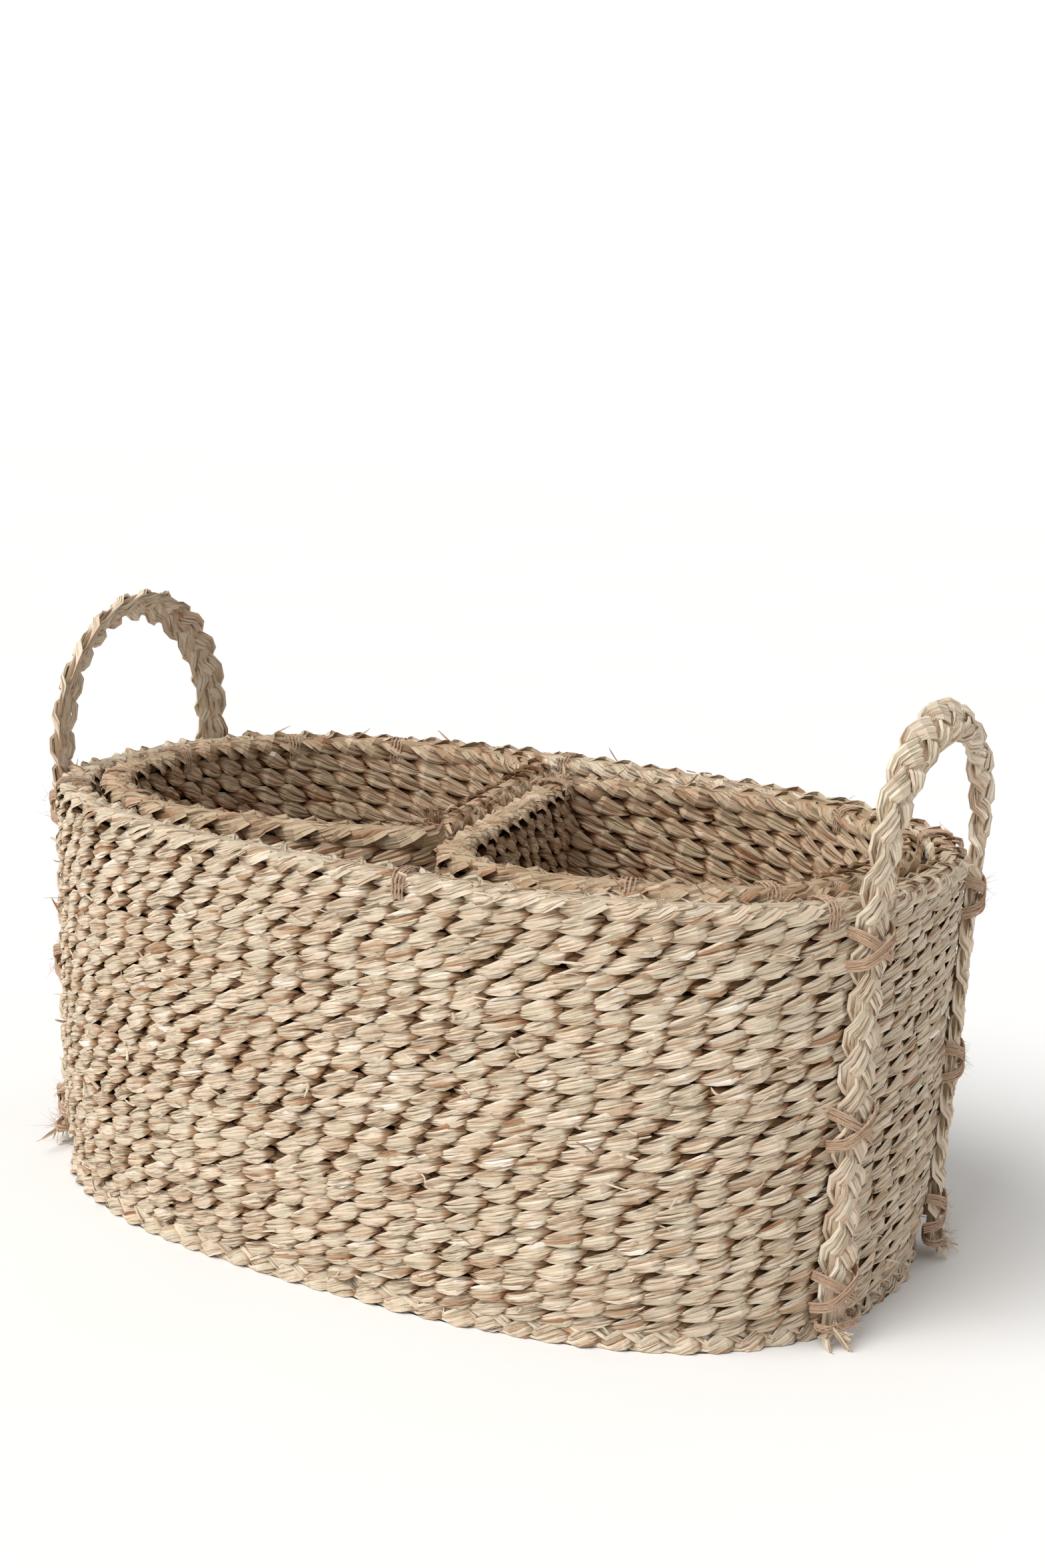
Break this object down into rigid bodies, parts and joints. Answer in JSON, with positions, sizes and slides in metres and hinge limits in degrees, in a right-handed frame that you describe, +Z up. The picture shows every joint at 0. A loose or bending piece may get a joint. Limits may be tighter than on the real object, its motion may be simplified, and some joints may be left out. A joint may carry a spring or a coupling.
{
  "type": "seagrass storage basket",
  "caption": "Oval storage basket of coiled, plaited seagrass with braided carrying handles and lift-out inserts.",
  "frame": {"origin": "centre of the base on the surface the basket stands on", "axes": "+X along the basket's length, from the left handle to the right; +Y to the back; +Z up"},
  "size_m": [0.5724, 0.3814, 0.3522],
  "materials": {
    "seagrass_wall": "dry plaited seagrass, matt to satin",
    "seagrass_insert": "dry plaited seagrass, matt to satin",
    "seagrass_handle": "dry braided seagrass, satin",
    "jute": "two-ply jute twine, fibrous"
  },
  "bodies": {
    "outer_basket": {"outer_base": "seagrass_wall", "outer_foot_course": "seagrass_wall", "outer_course_01": "seagrass_wall", "outer_course_02": "seagrass_wall", "outer_course_03": "seagrass_wall", "outer_course_04": "seagrass_wall", "outer_course_05": "seagrass_wall", "outer_course_06": "seagrass_wall", "outer_course_07": "seagrass_wall", "outer_course_08": "seagrass_wall", "outer_course_09": "seagrass_wall", "outer_course_10": "seagrass_wall", "outer_course_11": "seagrass_wall", "outer_course_12": "seagrass_wall", "outer_course_13": "seagrass_wall", "outer_course_14": "seagrass_wall", "outer_course_15": "seagrass_wall", "outer_course_16": "seagrass_wall", "outer_course_17": "seagrass_wall", "outer_course_18": "seagrass_wall", "outer_course_19": "seagrass_wall", "outer_course_20": "seagrass_wall", "outer_course_21": "seagrass_wall", "outer_course_22": "seagrass_wall", "outer_course_23": "seagrass_wall", "outer_course_24": "seagrass_wall", "outer_rim_course": "seagrass_wall", "outer_rim_stitches": "jute", "left_handle_front_leg": "seagrass_handle", "left_handle_back_leg": "seagrass_handle", "right_handle_front_leg": "seagrass_handle", "right_handle_back_leg": "seagrass_handle", "left_front_bottom_lashing": "jute", "left_front_middle_lashing": "jute", "left_front_top_lashing": "jute", "left_back_bottom_lashing": "jute", "left_back_middle_lashing": "jute", "left_back_top_lashing": "jute", "right_front_bottom_lashing": "jute", "right_front_middle_lashing": "jute", "right_front_top_lashing": "jute", "right_back_bottom_lashing": "jute", "right_back_middle_lashing": "jute", "right_back_top_lashing": "jute", "left_front_end_knot": "jute", "left_back_end_knot": "jute", "right_front_end_knot": "jute", "right_back_end_knot": "jute"},
    "left_handle": {"left_handle_loop": "seagrass_handle"},
    "right_handle": {"right_handle_loop": "seagrass_handle"},
    "left_insert": {"left_insert_base": "seagrass_insert", "left_insert_wall": "seagrass_insert", "left_insert_rim": "seagrass_insert", "left_insert_stitches": "jute", "left_insert_whipping": "jute"},
    "right_insert": {"right_insert_base": "seagrass_insert", "right_insert_wall": "seagrass_insert", "right_insert_rim": "seagrass_insert", "right_insert_stitches": "jute", "right_insert_whipping": "jute"}
  },
  "joints": [
    {"name": "left_handle_tilt", "type": "hinge", "parent": "outer_basket", "child": "left_handle", "pos_m": [-0.27448, 0, 0.2602], "axis": [0, -1, 0], "range_deg": [-35, 75], "stiffness_Nm_per_rad": 0.35},
    {"name": "right_handle_tilt", "type": "hinge", "parent": "outer_basket", "child": "right_handle", "pos_m": [0.27448, 0, 0.2602], "axis": [0, 1, 0], "range_deg": [-35, 75], "stiffness_Nm_per_rad": 0.35},
    {"name": "left_insert_lift", "type": "slide", "parent": "outer_basket", "child": "left_insert", "axis": [0, 0, 1], "range_m": [0, 0.36]},
    {"name": "right_insert_lift", "type": "slide", "parent": "outer_basket", "child": "right_insert", "axis": [0, 0, 1], "range_m": [0, 0.36]}
  ]
}
